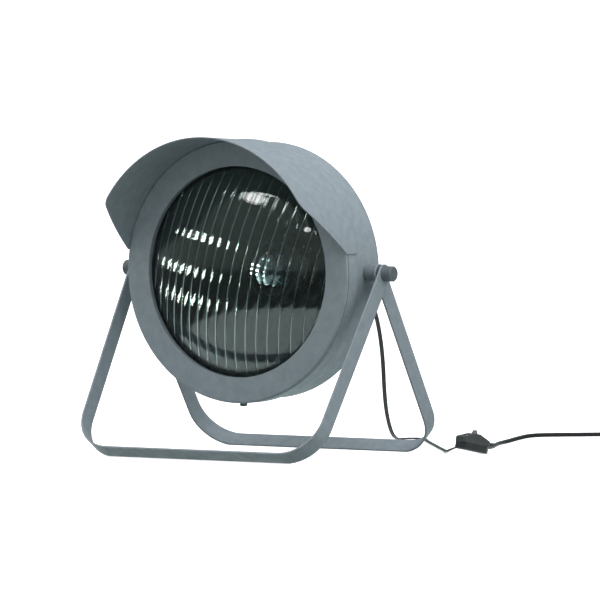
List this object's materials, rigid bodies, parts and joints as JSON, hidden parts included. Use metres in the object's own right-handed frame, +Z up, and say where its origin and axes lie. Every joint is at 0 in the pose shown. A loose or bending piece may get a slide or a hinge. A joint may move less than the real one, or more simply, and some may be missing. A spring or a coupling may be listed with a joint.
{
  "type": "tabletop searchlight lamp",
  "caption": "Tabletop searchlight lamp: round drum head with fluted glass lens and visor, tilting on two folding U-shaped stands, with a corded switch and plug.",
  "frame": {"origin": "on the floor under the tilt pivot, midway between the two feet", "axes": "-Y towards the light's front, +X to the viewer's right, +Z up"},
  "size_m": [0.4999, 0.6403, 0.3407],
  "materials": {
    "blue_grey_paint": "semi-matt enamel",
    "zinc_steel": "zinc plated",
    "knob_metal": "turned, dull",
    "gasket_rubber": "matt",
    "lens_glass": "clear, slightly green, fluted inside",
    "bulb_glass": "clear",
    "bulb_aluminium": "rolled",
    "ceramic": "unglazed ceramic look",
    "brass": "satin",
    "dark_fibre": "matt",
    "black_plastic": "fine texture",
    "grey_plastic": "fine texture",
    "cord_rubber": "satin"
  },
  "bodies": {
    "stand": {"back_frame": "blue_grey_paint", "pivot_washer_left": "dark_fibre", "pivot_washer_right": "dark_fibre", "switch_lower": "black_plastic", "switch_upper": "grey_plastic", "switch_screw_1": "zinc_steel", "switch_screw_2": "zinc_steel", "cord_floor": "cord_rubber", "cord_lead": "cord_rubber", "cord_coil": "cord_rubber", "coil_tie": "black_plastic", "cord_tail": "cord_rubber", "plug_body": "black_plastic", "plug_pin_left": "brass", "plug_pin_right": "brass"},
    "head": {"drum_shell": "blue_grey_paint", "rear_dome": "blue_grey_paint", "rear_can": "blue_grey_paint", "front_bezel": "blue_grey_paint", "bezel_screw": "zinc_steel", "lens_glass": "lens_glass", "lens_gasket": "gasket_rubber", "lens_retainer": "zinc_steel", "visor": "blue_grey_paint", "lampholder_body": "ceramic", "lampholder_shell": "brass", "lampholder_contact": "brass", "bulb_cap": "bulb_aluminium", "bulb_glass": "bulb_glass", "holder_nipple": "zinc_steel", "holder_nut": "zinc_steel", "pivot_stud_left": "zinc_steel", "pivot_stud_right": "zinc_steel", "pivot_spacer_left": "zinc_steel", "pivot_spacer_right": "zinc_steel", "cord_grip": "black_plastic", "cord_hang": "cord_rubber"},
    "front_stand": {"front_frame": "blue_grey_paint"},
    "knob_left": {"clamp_knob_left": "knob_metal"},
    "knob_right": {"clamp_knob_right": "knob_metal"},
    "lever": {"switch_lever": "grey_plastic"}
  },
  "joints": [
    {"name": "head_tilt", "type": "hinge", "parent": "stand", "child": "head", "pos_m": [0, 0, 0.1962], "axis": [1, 0, 0], "range_deg": [-60, 45], "deforming": ["cord_hang"]},
    {"name": "front_fold", "type": "hinge", "parent": "stand", "child": "front_stand", "pos_m": [0, 0, 0.1962], "axis": [1, 0, 0], "range_deg": [-8, 56]},
    {"name": "knob_left_turn", "type": "hinge", "parent": "head", "child": "knob_left", "pos_m": [-0.165, 0, 0.1962], "axis": [1, 0, 0], "range_deg": [-180, 180]},
    {"name": "knob_right_turn", "type": "hinge", "parent": "head", "child": "knob_right", "pos_m": [0.165, 0, 0.1962], "axis": [1, 0, 0], "range_deg": [-180, 180]},
    {"name": "lever_rock", "type": "hinge", "parent": "stand", "child": "lever", "pos_m": [0.19296, 0.12402, 0.01695], "axis": [-0.866, 0.5, 0], "range_deg": [-10, 10]}
  ]
}
